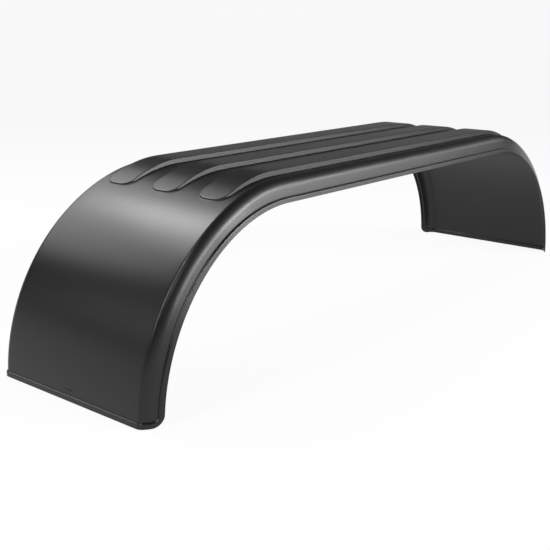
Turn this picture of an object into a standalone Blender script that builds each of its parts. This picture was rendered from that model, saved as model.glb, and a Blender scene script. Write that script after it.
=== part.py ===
"""Trailer mudguard: one sheet of plastic formed over a double arch.

The blank is laid out flat, with s along the length and t across the width. Every crease of the
finished sheet is a line on the blank. The blank is then bent over the arch, raised where it is
pressed, and given its thickness. X runs along the length, -Y faces outboard, Z is up.
"""

import math

import bmesh
import bpy
import numpy
from mathutils import Vector
from mathutils.geometry import delaunay_2d_cdt

MM = 0.001

# The arch: a flat top between two quarter circles that end in the feet.
WIDTH = 650 * MM
ARC_RADIUS = 586 * MM
TOP_LENGTH = 1424 * MM
WALL = 4.5 * MM

# The side flanges: a tight bend, a gentle one, then a flat band that flares outward.
FLANGE_DEPTH = 60 * MM
BEND_RADIUS = 22 * MM
BEND_ANGLE = math.radians(48)
FLARE_RADIUS = 75 * MM
FLANGE_ANGLE = math.radians(68)
CORNER_RADIUS = 36 * MM

# The rim: a band along the whole edge, set a little outward, with a narrow groove beside it.
RIM_WIDTH = 13.5 * MM
RIM_STEP = 4 * MM
RIM_SLOPE = math.radians(60)
GROOVE_DEPTH = 1.5 * MM
GROOVE_SIDE = 1.5 * MM

# The ribs: three hollow pressings that run over the top and out on the arcs.
RIB_COUNT = 3
RIB_PITCH = 195.5 * MM
RIB_WIDTH = 109 * MM
RIB_RISE = 16 * MM
RIB_SLOPE = math.radians(72)
RIB_ROUND = 2.5 * MM
RIB_REACH = 217 * MM
RIB_FALL = 1.35
RIB_TIP_RISE = 4.5 * MM
RIB_TIP_RADIUS = 40 * MM

# The crown: the top stands higher than the plain arch, and settles onto it along the arcs.
CROWN_RISE = 11 * MM
CROWN_START = 60 * MM
CROWN_REACH = 400 * MM

# The slot: a shallow recess across the outside of one foot.
SLOT_LENGTH = 37 * MM
SLOT_HEIGHT = 3 * MM
SLOT_DEPTH = 1.5 * MM
SLOT_UP = 33 * MM

# How finely the curves are divided.
ARC_STEPS = 20
BEND_STEPS = 4
FLARE_STEPS = 2
CORNER_STEPS = 5
TIP_STEPS = 4
CROWN_STEPS = 2
TOP_STEPS = 6
CUTTER_OUT = 10 * MM
FOOT_BAND = 0.5 * MM

# Sizes that follow from the ones above.
FLARE_OUT = FLARE_RADIUS * (math.sin(FLANGE_ANGLE) - math.sin(BEND_ANGLE))
FLARE_DOWN = FLARE_RADIUS * (math.cos(BEND_ANGLE) - math.cos(FLANGE_ANGLE))
BEND_OUT = BEND_RADIUS * math.sin(BEND_ANGLE) + FLARE_OUT
BEND_DOWN = BEND_RADIUS * (1 - math.cos(BEND_ANGLE)) + FLARE_DOWN
BEND_LENGTH = BEND_RADIUS * BEND_ANGLE
FLARE_LENGTH = FLARE_RADIUS * (FLANGE_ANGLE - BEND_ANGLE)
BAND_LENGTH = (FLANGE_DEPTH - BEND_DOWN) / math.sin(FLANGE_ANGLE)
BAND_OUT = BAND_LENGTH * math.cos(FLANGE_ANGLE)
RIM_OUT = RIM_STEP * math.sin(FLANGE_ANGLE)
RIM_FOOT = RIM_WIDTH + (RIM_STEP + GROOVE_DEPTH) / math.tan(RIM_SLOPE)
RIM_INNER = RIM_FOOT + GROOVE_SIDE
RIM_LINES = [RIM_WIDTH, RIM_FOOT, RIM_INNER]
RIM_HEIGHTS = [RIM_STEP, -GROOVE_DEPTH, 0]
PLAIN_BAND = BAND_LENGTH - RIM_INNER
HALF_FLAT = WIDTH / 2 - BEND_OUT - BAND_OUT - RIM_OUT
HALF_BLANK = HALF_FLAT + BEND_LENGTH + FLARE_LENGTH + BAND_LENGTH
HALF_TOP = TOP_LENGTH / 2
HALF_LENGTH = HALF_TOP + ARC_RADIUS * math.pi / 2
RIB_END = HALF_TOP + RIB_REACH
RIB_HALF = RIB_WIDTH / 2
RIB_CENTRES = [(i - (RIB_COUNT - 1) / 2) * RIB_PITCH for i in range(RIB_COUNT)]
RIBBED_HALF = RIB_CENTRES[-1] + RIB_HALF + RIB_ROUND
SLOT_FACE = HALF_TOP + math.sqrt(ARC_RADIUS**2 - SLOT_UP**2)


def inset(s, t, half_s, half_t, radius):
    """How far a point of the blank lies inside a rectangle with rounded corners."""
    over_s = abs(s) - half_s + radius
    over_t = abs(t) - half_t + radius
    outside = math.hypot(max(over_s, 0), max(over_t, 0))
    return radius - outside - min(max(over_s, over_t), 0)


def step_lines(rise, slope, rounding):
    """Distances from the foot of a step at which its profile changes."""
    run = rise / math.tan(slope)
    reach = rounding * math.tan(slope / 2)
    lean = reach * math.cos(slope)
    return [-reach, lean, run - lean, run + reach]


def step_height(into, rise, slope, rounding):
    """Height of a step with rounded edges, a given distance in from its foot."""
    start, wall_start, wall_end, end = step_lines(rise, slope, rounding)
    if into <= start:
        return 0
    if into >= end:
        return rise
    if into < wall_start:
        return rounding - math.sqrt(rounding**2 - (into - start) ** 2)
    if into > wall_end:
        return rise - rounding + math.sqrt(rounding**2 - (end - into) ** 2)
    return into * math.tan(slope)


def rib_rise(s):
    """How far a rib stands above the sheet beside it."""
    out = min(max((abs(s) - HALF_TOP) / RIB_REACH, 0), 1)
    return RIB_RISE - (RIB_RISE - RIB_TIP_RISE) * out**RIB_FALL


def crown(s):
    """How far the top stands above the plain arch at a place along the length."""
    out = (abs(s) - HALF_TOP + CROWN_START) / (CROWN_START + CROWN_REACH)
    out = min(max(out, 0), 1)
    return CROWN_RISE * (1 - out**2 * (3 - 2 * out))


def raised(s, t):
    """How far the sheet is pressed outward at a point of the blank."""
    edge = inset(s, t, HALF_LENGTH, HALF_BLANK, CORNER_RADIUS)
    height = float(numpy.interp(edge, RIM_LINES, RIM_HEIGHTS))
    for centre in RIB_CENTRES:
        into = inset(s, t - centre, RIB_END, RIB_HALF, RIB_TIP_RADIUS)
        height += step_height(into, rib_rise(s), RIB_SLOPE, RIB_ROUND)
    return height


def spine(s):
    """Point on the middle line of the arch, and the outward direction there."""
    past = max(abs(s) - HALF_TOP, 0)
    angle = past / ARC_RADIUS
    side = math.copysign(1, s)
    flat = min(abs(s), HALF_TOP)
    outward = Vector((side * math.sin(angle), 0, math.cos(angle)))
    return Vector((side * flat, 0, 0)) + outward * ARC_RADIUS, outward


def flange(past):
    """How far the side leads out and down, and how far it has turned, a length past the level part."""
    first = min(past / BEND_RADIUS, BEND_ANGLE)
    last = BEND_ANGLE + min(max(past - BEND_LENGTH, 0) / FLARE_RADIUS, FLANGE_ANGLE - BEND_ANGLE)
    band = max(past - BEND_LENGTH - FLARE_LENGTH, 0)
    out = BEND_RADIUS * math.sin(first)
    out += FLARE_RADIUS * (math.sin(last) - math.sin(BEND_ANGLE))
    out += band * math.cos(FLANGE_ANGLE)
    down = BEND_RADIUS * (1 - math.cos(first))
    down += FLARE_RADIUS * (math.cos(BEND_ANGLE) - math.cos(last))
    down += band * math.sin(FLANGE_ANGLE)
    return out, down, first if past < BEND_LENGTH else last


def formed(s, t):
    """Place of a point of the blank on the outside of the finished sheet."""
    middle, up = spine(s)
    middle += up * crown(s)
    across = Vector((0, math.copysign(1, t), 0))
    drawn_in = crown(s) / math.tan(FLANGE_ANGLE)
    level = abs(t) - drawn_in * max(abs(t) - RIBBED_HALF, 0) / (HALF_FLAT - RIBBED_HALF)
    past = abs(t) - HALF_FLAT
    if past <= 0:
        return middle + across * level + up * raised(s, t)
    longer = crown(s) / math.sin(FLANGE_ANGLE)
    plain = min(max(past - BEND_LENGTH - FLARE_LENGTH, 0) / PLAIN_BAND, 1)
    out, down, angle = flange(past + longer * plain)
    normal = up * math.cos(angle) + across * math.sin(angle)
    side = middle + across * (HALF_FLAT - drawn_in + out) - up * down
    return side + normal * raised(s, t)


def rounded_rectangle(half_s, half_t, radius, steps):
    """Outline of a rectangle with rounded corners on the blank, as points in order."""
    points = []
    for quarter, (side_s, side_t) in enumerate(((1, 1), (-1, 1), (-1, -1), (1, -1))):
        for i in range(steps + 1):
            angle = (quarter + i / steps) * math.pi / 2
            s = side_s * (half_s - radius) + radius * math.cos(angle)
            t = side_t * (half_t - radius) + radius * math.sin(angle)
            points.append((s, t))
    return points


def stations():
    """Places along the length where the sheet turns from one facet to the next."""
    half = [HALF_TOP + ARC_RADIUS * math.pi / 2 * i / ARC_STEPS for i in range(ARC_STEPS)]
    half += [HALF_TOP - CROWN_START * (i + 1) / CROWN_STEPS for i in range(CROWN_STEPS)]
    places = half + [-s for s in half]
    places += [HALF_TOP * (2 * i / TOP_STEPS - 1) for i in range(1, TOP_STEPS)]
    return sorted(places)


def bend_lines():
    """Places across the width where the sheet turns from one facet to the next."""
    half = [HALF_FLAT + BEND_LENGTH * i / BEND_STEPS for i in range(BEND_STEPS)]
    flare = HALF_FLAT + BEND_LENGTH
    half += [flare + FLARE_LENGTH * i / FLARE_STEPS for i in range(FLARE_STEPS + 1)]
    half.append(RIBBED_HALF)
    return half + [-t for t in half]


def rib_outline(centre, profile_index):
    """One crease of a rib on the blank, moved in from its foot as the rib's height asks."""
    loop = rounded_rectangle(RIB_END, RIB_HALF, RIB_TIP_RADIUS, TIP_STEPS)
    places = [s for s in stations() if abs(s) < RIB_END - RIB_TIP_RADIUS]
    upper = [(s, RIB_HALF) for s in reversed(places)]
    lower = [(s, -RIB_HALF) for s in places]
    corner = TIP_STEPS + 1
    loop = loop[:corner] + upper + loop[corner : 3 * corner] + lower + loop[3 * corner :]
    points = []
    for s, t in loop:
        core_s = min(max(s, RIB_TIP_RADIUS - RIB_END), RIB_END - RIB_TIP_RADIUS)
        core_t = min(max(t, RIB_TIP_RADIUS - RIB_HALF), RIB_HALF - RIB_TIP_RADIUS)
        away = Vector((s - core_s, t - core_t)).normalized()
        into = step_lines(rib_rise(s), RIB_SLOPE, RIB_ROUND)[profile_index]
        points.append((s - away.x * into, centre + t - away.y * into))
    return points


def crease_loops():
    """Every closed crease on the blank: the outline, the rim and the ribs."""
    loops = [rounded_rectangle(HALF_LENGTH, HALF_BLANK, CORNER_RADIUS, CORNER_STEPS)]
    for edge in RIM_LINES:
        loops.append(
            rounded_rectangle(
                HALF_LENGTH - edge, HALF_BLANK - edge, CORNER_RADIUS - edge, CORNER_STEPS
            )
        )
    for centre in RIB_CENTRES:
        loops += [rib_outline(centre, index) for index in range(4)]
    return loops


def flat_blank():
    """The blank as triangles whose edges follow every crease."""
    points = []
    lines = []
    for loop in crease_loops():
        first = len(points)
        points += loop
        lines += [(first + i, first + (i + 1) % len(loop)) for i in range(len(loop))]
    for s in stations():
        lines.append((len(points), len(points) + 1))
        points += [(s, -HALF_BLANK), (s, HALF_BLANK)]
    for t in bend_lines():
        lines.append((len(points), len(points) + 1))
        points += [(-HALF_LENGTH, t), (HALF_LENGTH, t)]
    flat = [Vector(point) for point in points]
    found = delaunay_2d_cdt(flat, lines, [], 0, 1e-6)
    return found[0], found[2]


def sheet_mesh():
    """The blank bent over the arch, still without thickness."""
    points, triangles = flat_blank()
    work = bmesh.new()
    corners = [work.verts.new(formed(p.x, p.y)) for p in points]
    for triangle in triangles:
        middle = sum((points[i] for i in triangle), Vector((0, 0))) / 3
        if inset(middle.x, middle.y, HALF_LENGTH, HALF_BLANK, CORNER_RADIUS) > 0:
            work.faces.new([corners[i] for i in triangle])
    loose = [v for v in work.verts if not v.link_faces]
    bmesh.ops.delete(work, geom=loose, context="VERTS")
    mesh = bpy.data.meshes.new("sheet")
    work.to_mesh(mesh)
    work.free()
    return mesh


def thickened(mesh):
    """The sheet with its wall, and with both feet cut level."""
    bare = bpy.data.objects.new("sheet", mesh)
    bpy.context.scene.collection.objects.link(bare)
    wall = bare.modifiers.new("wall", "SOLIDIFY")
    wall.thickness = WALL
    wall.offset = -1
    wall.use_even_offset = True
    wall.use_quality_normals = True
    bpy.context.view_layer.update()
    graph = bpy.context.evaluated_depsgraph_get()
    solid = bpy.data.meshes.new_from_object(bare.evaluated_get(graph))
    bpy.data.objects.remove(bare)
    bpy.data.meshes.remove(mesh)
    for vertex in solid.vertices:
        if abs(vertex.co.z) < FOOT_BAND:
            vertex.co.z = 0
    return solid


def slot_cutter(collection):
    """Block that sinks the shallow slot into the outside of one foot."""
    depth = SLOT_DEPTH + CUTTER_OUT
    work = bmesh.new()
    bmesh.ops.create_cube(work, size=1)
    bmesh.ops.scale(work, vec=(depth, SLOT_LENGTH, SLOT_HEIGHT), verts=work.verts)
    place = Vector((SLOT_DEPTH - SLOT_FACE - depth / 2, 0, SLOT_UP))
    bmesh.ops.translate(work, vec=place, verts=work.verts)
    mesh = bpy.data.meshes.new("slot_cutter")
    work.to_mesh(mesh)
    work.free()
    cutter = bpy.data.objects.new("slot_cutter", mesh)
    cutter.hide_render = True
    cutter.display_type = "WIRE"
    collection.objects.link(cutter)
    return cutter


def black_plastic():
    """Satin black plastic."""
    material = bpy.data.materials.new("black_plastic")
    material.use_nodes = True
    shader = material.node_tree.nodes["Principled BSDF"]
    shader.inputs["Base Color"].default_value = (0.02, 0.02, 0.021, 1)
    shader.inputs["Roughness"].default_value = 0.4
    return material


def build():
    """Clear the scene and make the mudguard."""
    for thing in list(bpy.data.objects):
        bpy.data.objects.remove(thing)
    parts = bpy.data.collections.new("trailer_mudguard")
    cutters = bpy.data.collections.new("cutters")
    bpy.context.scene.collection.children.link(parts)
    bpy.context.scene.collection.children.link(cutters)
    guard = bpy.data.objects.new("mudguard", thickened(sheet_mesh()))
    guard.name = "mudguard"
    guard.data.name = "mudguard"
    guard.data.materials.append(black_plastic())
    parts.objects.link(guard)
    slot = guard.modifiers.new("slot", "BOOLEAN")
    slot.operation = "DIFFERENCE"
    slot.solver = "EXACT"
    slot.object = slot_cutter(cutters)


build()
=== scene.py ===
"""Looks of the trailer mudguard: the formed sheet, its plastic, a studio and a camera.

The blank is laid out flat, with s along the length and t across the width, then bent over the
arch and raised where it is pressed, as the solid is. X runs along the length, and -Y faces
outboard.
"""

import math

import bmesh
import bpy
import numpy
from mathutils import Matrix, Vector
from mathutils.geometry import delaunay_2d_cdt

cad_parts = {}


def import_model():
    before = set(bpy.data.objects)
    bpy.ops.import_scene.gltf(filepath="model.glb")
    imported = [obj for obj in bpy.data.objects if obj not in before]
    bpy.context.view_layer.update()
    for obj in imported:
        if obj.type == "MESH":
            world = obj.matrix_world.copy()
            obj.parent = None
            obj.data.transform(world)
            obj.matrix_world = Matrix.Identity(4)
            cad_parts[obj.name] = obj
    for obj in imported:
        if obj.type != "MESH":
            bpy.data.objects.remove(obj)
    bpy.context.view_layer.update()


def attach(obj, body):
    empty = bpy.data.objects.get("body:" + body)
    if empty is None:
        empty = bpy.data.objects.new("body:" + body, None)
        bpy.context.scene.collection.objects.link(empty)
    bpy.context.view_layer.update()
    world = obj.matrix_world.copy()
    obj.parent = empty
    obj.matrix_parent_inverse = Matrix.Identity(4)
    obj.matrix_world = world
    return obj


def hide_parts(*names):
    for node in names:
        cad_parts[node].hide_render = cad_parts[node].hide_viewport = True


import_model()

MM = 0.001

# The arch: a flat top between two quarter circles that end in the feet.
WIDTH = 650 * MM
ARC_RADIUS = 586 * MM
TOP_LENGTH = 1424 * MM
WALL = 4.5 * MM

# The side flanges: a tight bend, a gentle one, then a flat band that flares outward.
FLANGE_DEPTH = 60 * MM
BEND_RADIUS = 22 * MM
BEND_ANGLE = math.radians(48)
FLARE_RADIUS = 75 * MM
FLANGE_ANGLE = math.radians(68)
CORNER_RADIUS = 36 * MM

# The rim: a band along the whole edge, set a little outward, with a narrow groove beside it.
RIM_WIDTH = 13.5 * MM
RIM_STEP = 4 * MM
RIM_SLOPE = math.radians(60)
RIM_TRIM = 0.6 * MM
GROOVE_DEPTH = 1.5 * MM
GROOVE_SIDE = 1.5 * MM

# The ribs: three hollow pressings that run over the top and out on the arcs.
RIB_COUNT = 3
RIB_PITCH = 195.5 * MM
RIB_WIDTH = 109 * MM
RIB_RISE = 16 * MM
RIB_SLOPE = math.radians(79)
RIB_ROUND = 2.5 * MM
RIB_REACH = 217 * MM
RIB_FALL = 1.35
RIB_TIP_RISE = 4.5 * MM
RIB_TIP_RADIUS = 40 * MM

# The crown: the top stands higher than the plain arch, and settles onto it along the arcs.
CROWN_RISE = 11 * MM
CROWN_START = 60 * MM
CROWN_REACH = 400 * MM

# The slot: a shallow recess across the outside of one foot.
SLOT_LENGTH = 37 * MM
SLOT_HEIGHT = 3 * MM
SLOT_DEPTH = 1.5 * MM
SLOT_UP = 33 * MM

# How finely the curves are divided.
ARC_STEPS = 48
BEND_STEPS = 12
FLARE_STEPS = 8
CORNER_STEPS = 12
TIP_STEPS = 10
CROWN_STEPS = 5
TOP_STEPS = 12
ROUND_STEPS = 3
TRIM_STEPS = 2

# How the mesh is made: the gap to the guard creases that keep the shading crisp, the angle past
# which an edge is sharp, the height of what is cut level at the foot, how far the slot's block
# stands out, and the distance within which two points are one.
GUARD_GAP = 1.5 * MM
SHARP_ANGLE = math.radians(35)
FOOT_BAND = 0.5 * MM
CUTTER_OUT = 10 * MM
SAME_POINT = 0.001 * MM

# The plastic: nearly black, with a fine grain and clouds of slightly uneven gloss.
PLASTIC_COLOUR = (0.006, 0.006, 0.0062, 1)
PLASTIC_SPECULAR = 0.4
GLOSSIEST = 0.28
DULLEST = 0.32
CLOUD_SCALE = 3
CLOUD_DETAIL = 3
GRAIN_SCALE = 900
GRAIN_DETAIL = 2
GRAIN_STRENGTH = 0.15
GRAIN_DEPTH = 0.0002

# The photograph's camera.
FRAME_PX = 550
FOCAL_PX = 932.5
CENTRE_X_PX = 237.5
CENTRE_Y_PX = 206.6
CAMERA_PLACE = Vector((-2.868, -1.9744, 1.0597))
CAMERA_YAW = math.radians(40.654)
CAMERA_PITCH = math.radians(11.367)
CAMERA_ROLL = math.radians(0.208)
SENSOR_WIDTH = 36
VIEW_LIMIT = 100

# The studio: a pale floor and low wall, and a dim even light.
FLOOR_COLOUR = (0.85, 0.85, 0.85, 1)
FLOOR_ROUGHNESS = 0.9
FLOOR_GLOW = 0.92
FLOOR_RADIUS = 9.0
SWEEP_RADIUS = 1.6
SWEEP_STEPS = 8
SWEEP_SIDES = 96
AMBIENT = 0.1
LIGHT_AIM = Vector((0, 0, 0.3))
LIGHT_DISTANCE = 5.0
# Name, azimuth and elevation in degrees, width and height in metres, power in watts.
SOFTBOXES = [
    ("back", 100, 51, 1.1, 1.3, 57),
    ("back_left", 120, 51, 1.1, 1.3, 22),
    ("back_right", 80, 40, 1.35, 2.6, 20),
    ("back_low", 112, 35, 2.9, 1.4, 41),
    ("left_low", 150, 18, 2.1, 1.4, 9.5),
    ("left_high", 178, 53, 0.5, 0.9, 28),
    ("left_middle", 180, 36, 0.5, 0.9, 24),
    ("left", 181, 23, 0.5, 0.7, 14),
    ("front", 215, 38, 1.7, 1.3, 18),
    ("side_low", 260, 12, 0.7, 0.7, 37),
    ("side", 269, 20, 0.8, 0.5, 52),
    ("strip", 285, 26.5, 1.25, 0.25, 95),
    ("strip_high", 302, 30, 1.35, 0.25, 60),
    ("strip_right", 320, 26, 1.4, 0.25, 27),
    ("strip_end", 336, 18, 1.15, 0.35, 5),
    ("right", 316, 18, 2.5, 1.2, 21),
]

# Sizes that follow from the ones above.
FLARE_OUT = FLARE_RADIUS * (math.sin(FLANGE_ANGLE) - math.sin(BEND_ANGLE))
FLARE_DOWN = FLARE_RADIUS * (math.cos(BEND_ANGLE) - math.cos(FLANGE_ANGLE))
BEND_OUT = BEND_RADIUS * math.sin(BEND_ANGLE) + FLARE_OUT
BEND_DOWN = BEND_RADIUS * (1 - math.cos(BEND_ANGLE)) + FLARE_DOWN
BEND_LENGTH = BEND_RADIUS * BEND_ANGLE
FLARE_LENGTH = FLARE_RADIUS * (FLANGE_ANGLE - BEND_ANGLE)
BAND_LENGTH = (FLANGE_DEPTH - BEND_DOWN) / math.sin(FLANGE_ANGLE)
BAND_OUT = BAND_LENGTH * math.cos(FLANGE_ANGLE)
RIM_OUT = RIM_STEP * math.sin(FLANGE_ANGLE)
RIM_FOOT = RIM_WIDTH + (RIM_STEP + GROOVE_DEPTH) / math.tan(RIM_SLOPE)
RIM_INNER = RIM_FOOT + GROOVE_SIDE
PLAIN_BAND = BAND_LENGTH - RIM_INNER
HALF_FLAT = WIDTH / 2 - BEND_OUT - BAND_OUT - RIM_OUT
HALF_BLANK = HALF_FLAT + BEND_LENGTH + FLARE_LENGTH + BAND_LENGTH
HALF_TOP = TOP_LENGTH / 2
HALF_LENGTH = HALF_TOP + ARC_RADIUS * math.pi / 2
RIB_END = HALF_TOP + RIB_REACH
RIB_HALF = RIB_WIDTH / 2
RIB_CENTRES = [(i - (RIB_COUNT - 1) / 2) * RIB_PITCH for i in range(RIB_COUNT)]
RIBBED_HALF = RIB_CENTRES[-1] + RIB_HALF + RIB_ROUND
SLOT_FACE = HALF_TOP + math.sqrt(ARC_RADIUS**2 - SLOT_UP**2)


def softened(corners, trim, steps):
    """The line through some corners with each inner corner rounded off, as points."""
    points = [corners[0]]
    for before, corner, after in zip(corners, corners[1:], corners[2:]):
        here = Vector(corner)
        start = here + (Vector(before) - here).normalized() * trim
        end = here + (Vector(after) - here).normalized() * trim
        for i in range(steps + 1):
            along = i / steps
            blend = start * (1 - along) ** 2 + here * 2 * along * (1 - along) + end * along**2
            points.append(tuple(blend))
    return points + [corners[-1]]


RIM_CORNERS = [
    (0, RIM_STEP),
    (RIM_WIDTH, RIM_STEP),
    (RIM_FOOT, -GROOVE_DEPTH),
    (RIM_INNER, 0),
    (2 * RIM_INNER, 0),
]
RIM_PROFILE = softened(RIM_CORNERS, RIM_TRIM, TRIM_STEPS)[1:-1]
RIM_PROFILE.insert(0, (RIM_PROFILE[0][0] - GUARD_GAP, RIM_STEP))
RIM_PROFILE.append((RIM_PROFILE[-1][0] + GUARD_GAP, 0))
RIM_LINES = [place for place, height in RIM_PROFILE]
RIM_HEIGHTS = [height for place, height in RIM_PROFILE]


def inset(s, t, half_s, half_t, radius):
    """How far a point of the blank lies inside a rectangle with rounded corners."""
    over_s = abs(s) - half_s + radius
    over_t = abs(t) - half_t + radius
    outside = math.hypot(max(over_s, 0), max(over_t, 0))
    return radius - outside - min(max(over_s, over_t), 0)


def step_lines(rise, slope, rounding):
    """Distances from the foot of a step at which its profile changes."""
    run = rise / math.tan(slope)
    reach = rounding * math.tan(slope / 2)
    lean = reach * math.cos(slope)
    return [-reach, lean, run - lean, run + reach]


def round_lines(rise, slope, rounding):
    """Distances from the foot of a step for every line of its two rounded edges."""
    lines = step_lines(rise, slope, rounding)
    angles = [slope * i / ROUND_STEPS for i in range(ROUND_STEPS + 1)]
    lower = [lines[0] + rounding * math.sin(angle) for angle in angles]
    upper = [lines[-1] - rounding * math.sin(angle) for angle in reversed(angles)]
    return lower + upper


def step_height(into, rise, slope, rounding):
    """Height of a step with rounded edges, a given distance in from its foot."""
    start, wall_start, wall_end, end = step_lines(rise, slope, rounding)
    if into <= start:
        return 0
    if into >= end:
        return rise
    if into < wall_start:
        return rounding - math.sqrt(rounding**2 - (into - start) ** 2)
    if into > wall_end:
        return rise - rounding + math.sqrt(rounding**2 - (end - into) ** 2)
    return into * math.tan(slope)


def rib_rise(s):
    """How far a rib stands above the sheet beside it."""
    out = min(max((abs(s) - HALF_TOP) / RIB_REACH, 0), 1)
    return RIB_RISE - (RIB_RISE - RIB_TIP_RISE) * out**RIB_FALL


def crown(s):
    """How far the top stands above the plain arch at a place along the length."""
    out = (abs(s) - HALF_TOP + CROWN_START) / (CROWN_START + CROWN_REACH)
    out = min(max(out, 0), 1)
    return CROWN_RISE * (1 - out**2 * (3 - 2 * out))


def raised(s, t):
    """How far the sheet is pressed outward at a point of the blank."""
    edge = inset(s, t, HALF_LENGTH, HALF_BLANK, CORNER_RADIUS)
    height = float(numpy.interp(edge, RIM_LINES, RIM_HEIGHTS))
    for centre in RIB_CENTRES:
        into = inset(s, t - centre, RIB_END, RIB_HALF, RIB_TIP_RADIUS)
        height += step_height(into, rib_rise(s), RIB_SLOPE, RIB_ROUND)
    return height


def spine(s):
    """Point on the middle line of the arch, and the outward direction there."""
    past = max(abs(s) - HALF_TOP, 0)
    angle = past / ARC_RADIUS
    side = math.copysign(1, s)
    flat = min(abs(s), HALF_TOP)
    outward = Vector((side * math.sin(angle), 0, math.cos(angle)))
    return Vector((side * flat, 0, 0)) + outward * ARC_RADIUS, outward


def flange(past):
    """How far the side leads out and down and has turned, a length past the level part."""
    first = min(past / BEND_RADIUS, BEND_ANGLE)
    last = min(BEND_ANGLE + max(past - BEND_LENGTH, 0) / FLARE_RADIUS, FLANGE_ANGLE)
    band = max(past - BEND_LENGTH - FLARE_LENGTH, 0)
    out = BEND_RADIUS * math.sin(first)
    out += FLARE_RADIUS * (math.sin(last) - math.sin(BEND_ANGLE))
    out += band * math.cos(FLANGE_ANGLE)
    down = BEND_RADIUS * (1 - math.cos(first))
    down += FLARE_RADIUS * (math.cos(BEND_ANGLE) - math.cos(last))
    down += band * math.sin(FLANGE_ANGLE)
    return out, down, first if past < BEND_LENGTH else last


def formed(s, t):
    """Place of a point of the blank on the outside of the finished sheet."""
    middle, up = spine(s)
    middle += up * crown(s)
    across = Vector((0, math.copysign(1, t), 0))
    drawn_in = crown(s) / math.tan(FLANGE_ANGLE)
    level = abs(t) - drawn_in * max(abs(t) - RIBBED_HALF, 0) / (HALF_FLAT - RIBBED_HALF)
    past = abs(t) - HALF_FLAT
    if past <= 0:
        return middle + across * level + up * raised(s, t)
    longer = crown(s) / math.sin(FLANGE_ANGLE)
    plain = min(max(past - BEND_LENGTH - FLARE_LENGTH, 0) / PLAIN_BAND, 1)
    out, down, angle = flange(past + longer * plain)
    normal = up * math.cos(angle) + across * math.sin(angle)
    side = middle + across * (HALF_FLAT - drawn_in + out) - up * down
    return side + normal * raised(s, t)


def rounded_rectangle(half_s, half_t, radius, steps):
    """Outline of a rectangle with rounded corners on the blank, as points in order."""
    points = []
    for quarter, (side_s, side_t) in enumerate(((1, 1), (-1, 1), (-1, -1), (1, -1))):
        for i in range(steps + 1):
            angle = (quarter + i / steps) * math.pi / 2
            s = side_s * (half_s - radius) + radius * math.cos(angle)
            t = side_t * (half_t - radius) + radius * math.sin(angle)
            points.append((s, t))
    return points


def stations():
    """Places along the length where the sheet turns from one facet to the next."""
    half = [HALF_TOP + ARC_RADIUS * math.pi / 2 * i / ARC_STEPS for i in range(ARC_STEPS)]
    half += [HALF_TOP - CROWN_START * (i + 1) / CROWN_STEPS for i in range(CROWN_STEPS)]
    places = half + [-s for s in half]
    places += [HALF_TOP * (2 * i / TOP_STEPS - 1) for i in range(1, TOP_STEPS)]
    return sorted(places)


def bend_lines():
    """Places across the width where the sheet turns from one facet to the next."""
    half = [HALF_FLAT + BEND_LENGTH * i / BEND_STEPS for i in range(BEND_STEPS)]
    flare = HALF_FLAT + BEND_LENGTH
    half += [flare + FLARE_LENGTH * i / FLARE_STEPS for i in range(FLARE_STEPS + 1)]
    half.append(RIBBED_HALF)
    return half + [-t for t in half]


def rib_outlines(centre):
    """The creases of a rib on the blank, moved in from its foot as the rib's height asks."""
    loop = rounded_rectangle(RIB_END, RIB_HALF, RIB_TIP_RADIUS, TIP_STEPS)
    places = [s for s in stations() if abs(s) < RIB_END - RIB_TIP_RADIUS]
    upper = [(s, RIB_HALF) for s in reversed(places)]
    lower = [(s, -RIB_HALF) for s in places]
    corner = TIP_STEPS + 1
    loop = loop[:corner] + upper + loop[corner : 3 * corner] + lower + loop[3 * corner :]
    outlines = []
    for s, t in loop:
        core_s = min(max(s, RIB_TIP_RADIUS - RIB_END), RIB_END - RIB_TIP_RADIUS)
        core_t = min(max(t, RIB_TIP_RADIUS - RIB_HALF), RIB_HALF - RIB_TIP_RADIUS)
        away = Vector((s - core_s, t - core_t)).normalized()
        lines = round_lines(rib_rise(s), RIB_SLOPE, RIB_ROUND)
        lines = [lines[0] - GUARD_GAP] + lines + [lines[-1] + GUARD_GAP]
        outlines.append([(s - away.x * into, centre + t - away.y * into) for into in lines])
    return [list(outline) for outline in zip(*outlines)]


def crease_loops():
    """Every closed crease on the blank: the outline, the rim and the ribs."""
    loops = []
    for edge in [0] + RIM_LINES:
        half_s, half_t = HALF_LENGTH - edge, HALF_BLANK - edge
        loops.append(rounded_rectangle(half_s, half_t, CORNER_RADIUS - edge, CORNER_STEPS))
    for centre in RIB_CENTRES:
        loops += rib_outlines(centre)
    return loops


def flat_blank():
    """The blank as triangles whose edges follow every crease."""
    points = []
    lines = []
    for loop in crease_loops():
        first = len(points)
        points += loop
        lines += [(first + i, first + (i + 1) % len(loop)) for i in range(len(loop))]
    for s in stations():
        lines.append((len(points), len(points) + 1))
        points += [(s, -HALF_BLANK), (s, HALF_BLANK)]
    for t in bend_lines():
        lines.append((len(points), len(points) + 1))
        points += [(-HALF_LENGTH, t), (HALF_LENGTH, t)]
    flat = [Vector(point) for point in points]
    found = delaunay_2d_cdt(flat, lines, [], 0, SAME_POINT)
    return found[0], found[2]


def mesh_of(work, name):
    """A mesh of what a bmesh holds. The bmesh is freed."""
    mesh = bpy.data.meshes.new(name)
    work.to_mesh(mesh)
    work.free()
    return mesh


def placed(name, data):
    """A new object in the scene that shows some data."""
    thing = bpy.data.objects.new(name, data)
    bpy.context.scene.collection.objects.link(thing)
    return thing


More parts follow.
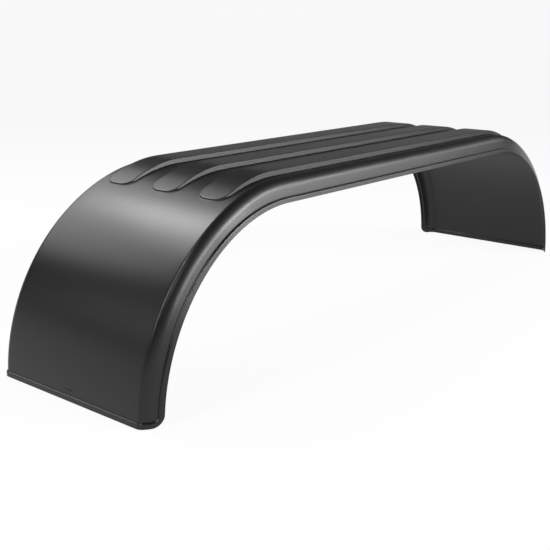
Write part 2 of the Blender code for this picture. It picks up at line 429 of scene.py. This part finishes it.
def sheet_mesh():
    """The blank bent over the arch, still without thickness."""
    points, triangles = flat_blank()
    work = bmesh.new()
    corners = [work.verts.new(formed(p.x, p.y)) for p in points]
    for triangle in triangles:
        middle = sum((points[i] for i in triangle), Vector((0, 0))) / 3
        if inset(middle.x, middle.y, HALF_LENGTH, HALF_BLANK, CORNER_RADIUS) > 0:
            work.faces.new([corners[i] for i in triangle])
    loose = [v for v in work.verts if not v.link_faces]
    bmesh.ops.delete(work, geom=loose, context="VERTS")
    return mesh_of(work, "sheet")


def evaluated_mesh(thing):
    """A mesh of an object with its modifiers applied, in place of the object."""
    bpy.context.view_layer.update()
    graph = bpy.context.evaluated_depsgraph_get()
    mesh = bpy.data.meshes.new_from_object(thing.evaluated_get(graph))
    old = thing.data
    bpy.data.objects.remove(thing)
    bpy.data.meshes.remove(old)
    return mesh


def thickened(mesh):
    """The sheet with its wall, and with both feet cut level."""
    bare = placed("sheet", mesh)
    wall = bare.modifiers.new("wall", "SOLIDIFY")
    wall.thickness = WALL
    wall.offset = -1
    wall.use_even_offset = True
    wall.use_quality_normals = True
    solid = evaluated_mesh(bare)
    for vertex in solid.vertices:
        if abs(vertex.co.z) < FOOT_BAND:
            vertex.co.z = 0
    return solid


def slot_cutter():
    """Block that sinks the shallow slot into the outside of one foot."""
    depth = SLOT_DEPTH + CUTTER_OUT
    work = bmesh.new()
    bmesh.ops.create_cube(work, size=1)
    bmesh.ops.scale(work, vec=(depth, SLOT_LENGTH, SLOT_HEIGHT), verts=work.verts)
    place = Vector((SLOT_DEPTH - SLOT_FACE - depth / 2, 0, SLOT_UP))
    bmesh.ops.translate(work, vec=place, verts=work.verts)
    return placed("slot_cutter", mesh_of(work, "slot_cutter"))


def mudguard(material):
    """The formed sheet with its slot, shaded smooth between its sharp edges."""
    blank = placed("slotted", thickened(sheet_mesh()))
    cutter = slot_cutter()
    slot = blank.modifiers.new("slot", "BOOLEAN")
    slot.operation = "DIFFERENCE"
    slot.solver = "EXACT"
    slot.object = cutter
    mesh = evaluated_mesh(blank)
    bpy.data.objects.remove(cutter)
    mesh.shade_smooth()
    mesh.set_sharp_from_angle(angle=SHARP_ANGLE)
    mesh.name = "mudguard_visual"
    mesh.materials.clear()
    mesh.materials.append(material)
    guard = placed("mudguard_visual", mesh)
    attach(guard, "root")
    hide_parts("mudguard")


def new_material(name):
    """A material with its nodes and links, and its Principled shader."""
    material = bpy.data.materials.new(name)
    material.use_nodes = True
    tree = material.node_tree
    return material, tree.nodes, tree.links, tree.nodes["Principled BSDF"]


def black_plastic():
    """Satin black plastic with a fine grain and a slightly uneven gloss."""
    material, nodes, links, shader = new_material("black_plastic_satin")
    shader.inputs["Base Color"].default_value = PLASTIC_COLOUR
    shader.inputs["Specular IOR Level"].default_value = PLASTIC_SPECULAR
    place = nodes.new("ShaderNodeTexCoord")
    grain = nodes.new("ShaderNodeTexNoise")
    grain.inputs["Scale"].default_value = GRAIN_SCALE
    grain.inputs["Detail"].default_value = GRAIN_DETAIL
    cloud = nodes.new("ShaderNodeTexNoise")
    cloud.inputs["Scale"].default_value = CLOUD_SCALE
    cloud.inputs["Detail"].default_value = CLOUD_DETAIL
    gloss = nodes.new("ShaderNodeMapRange")
    gloss.inputs["To Min"].default_value = GLOSSIEST
    gloss.inputs["To Max"].default_value = DULLEST
    bump = nodes.new("ShaderNodeBump")
    bump.inputs["Strength"].default_value = GRAIN_STRENGTH
    bump.inputs["Distance"].default_value = GRAIN_DEPTH
    links.new(place.outputs["Object"], grain.inputs["Vector"])
    links.new(place.outputs["Object"], cloud.inputs["Vector"])
    links.new(cloud.outputs["Fac"], gloss.inputs["Value"])
    links.new(gloss.outputs["Result"], shader.inputs["Roughness"])
    links.new(grain.outputs["Fac"], bump.inputs["Height"])
    links.new(bump.outputs["Normal"], shader.inputs["Normal"])
    return material


def pale_studio():
    """Pale matt material that shows nearly white to the camera and in reflections."""
    material, nodes, links, shader = new_material("pale_studio")
    shader.inputs["Base Color"].default_value = FLOOR_COLOUR
    shader.inputs["Roughness"].default_value = FLOOR_ROUGHNESS
    shader.inputs["Specular IOR Level"].default_value = 0
    glow = nodes.new("ShaderNodeEmission")
    glow.inputs["Strength"].default_value = 1
    path = nodes.new("ShaderNodeLightPath")
    seen = nodes.new("ShaderNodeMath")
    seen.operation = "MAXIMUM"
    reflected = nodes.new("ShaderNodeMath")
    reflected.operation = "MAXIMUM"
    share = nodes.new("ShaderNodeMath")
    share.operation = "MULTIPLY"
    share.inputs[1].default_value = FLOOR_GLOW
    mix = nodes.new("ShaderNodeMixShader")
    links.new(path.outputs["Is Camera Ray"], seen.inputs[0])
    links.new(path.outputs["Is Glossy Ray"], seen.inputs[1])
    links.new(seen.outputs["Value"], reflected.inputs[0])
    links.new(path.outputs["Is Transmission Ray"], reflected.inputs[1])
    links.new(reflected.outputs["Value"], share.inputs[0])
    links.new(share.outputs["Value"], mix.inputs["Fac"])
    links.new(shader.outputs["BSDF"], mix.inputs[1])
    links.new(glow.outputs["Emission"], mix.inputs[2])
    links.new(mix.outputs["Shader"], nodes["Material Output"].inputs["Surface"])
    return material


def studio():
    """Round pale floor that sweeps up into a low wall, far from the mudguard."""
    profile = [(0, 0), (FLOOR_RADIUS, 0)]
    for i in range(1, SWEEP_STEPS + 1):
        angle = math.pi / 2 * i / SWEEP_STEPS
        out = FLOOR_RADIUS + SWEEP_RADIUS * math.sin(angle)
        profile.append((out, SWEEP_RADIUS * (1 - math.cos(angle))))
    work = bmesh.new()
    line = [work.verts.new((out, 0, up)) for out, up in profile]
    edges = [work.edges.new(pair) for pair in zip(line, line[1:])]
    bmesh.ops.spin(
        work,
        geom=line + edges,
        axis=(0, 0, 1),
        cent=(0, 0, 0),
        angle=2 * math.pi,
        steps=SWEEP_SIDES,
    )
    bmesh.ops.remove_doubles(work, verts=work.verts, dist=MM)
    bmesh.ops.recalc_face_normals(work, faces=work.faces)
    mesh = mesh_of(work, "studio")
    mesh.materials.append(pale_studio())
    mesh.shade_smooth()
    ground = placed("studio", mesh)


def world():
    """Dim even light from all round."""
    sky = bpy.data.worlds.new("studio")
    sky.use_nodes = True
    bpy.context.scene.world = sky
    shader = sky.node_tree.nodes["Background"]
    shader.inputs["Color"].default_value = (1, 1, 1, 1)
    shader.inputs["Strength"].default_value = AMBIENT


def softbox(name, azimuth, elevation, wide, high, power):
    """Rectangular area light that faces the middle of the mudguard."""
    lamp = bpy.data.lights.new(name, "AREA")
    lamp.shape = "RECTANGLE"
    lamp.size = wide
    lamp.size_y = high
    lamp.energy = power
    across = math.radians(azimuth)
    lift = math.radians(elevation)
    level = math.cos(lift)
    away = Vector((level * math.cos(across), level * math.sin(across), math.sin(lift)))
    turn = away.to_track_quat("Z", "Y").to_matrix().to_4x4()
    place = Matrix.Translation(LIGHT_AIM + away * LIGHT_DISTANCE)
    placed(name, lamp).matrix_world = place @ turn


def camera():
    """Camera at the place and with the frame of the photograph."""
    ahead = Vector((math.cos(CAMERA_YAW), math.sin(CAMERA_YAW), 0))
    forward = ahead * math.cos(CAMERA_PITCH) - Vector((0, 0, math.sin(CAMERA_PITCH)))
    level = Vector((math.sin(CAMERA_YAW), -math.cos(CAMERA_YAW), 0))
    upright = level.cross(forward)
    right = level * math.cos(CAMERA_ROLL) + upright * math.sin(CAMERA_ROLL)
    up = upright * math.cos(CAMERA_ROLL) - level * math.sin(CAMERA_ROLL)
    data = bpy.data.cameras.new("camera")
    data.sensor_width = SENSOR_WIDTH
    data.lens = FOCAL_PX / FRAME_PX * data.sensor_width
    data.shift_x = (FRAME_PX / 2 - CENTRE_X_PX) / FRAME_PX
    data.shift_y = (CENTRE_Y_PX - FRAME_PX / 2) / FRAME_PX
    data.clip_end = VIEW_LIMIT
    turn = Matrix((right, up, -forward)).transposed().to_4x4()
    eye = placed("camera", data)
    eye.matrix_world = Matrix.Translation(CAMERA_PLACE) @ turn
    bpy.context.scene.camera = eye


mudguard(black_plastic())
studio()
world()
for box in SOFTBOXES:
    softbox(*box)
camera()
bpy.context.scene.view_settings.view_transform = "Standard"
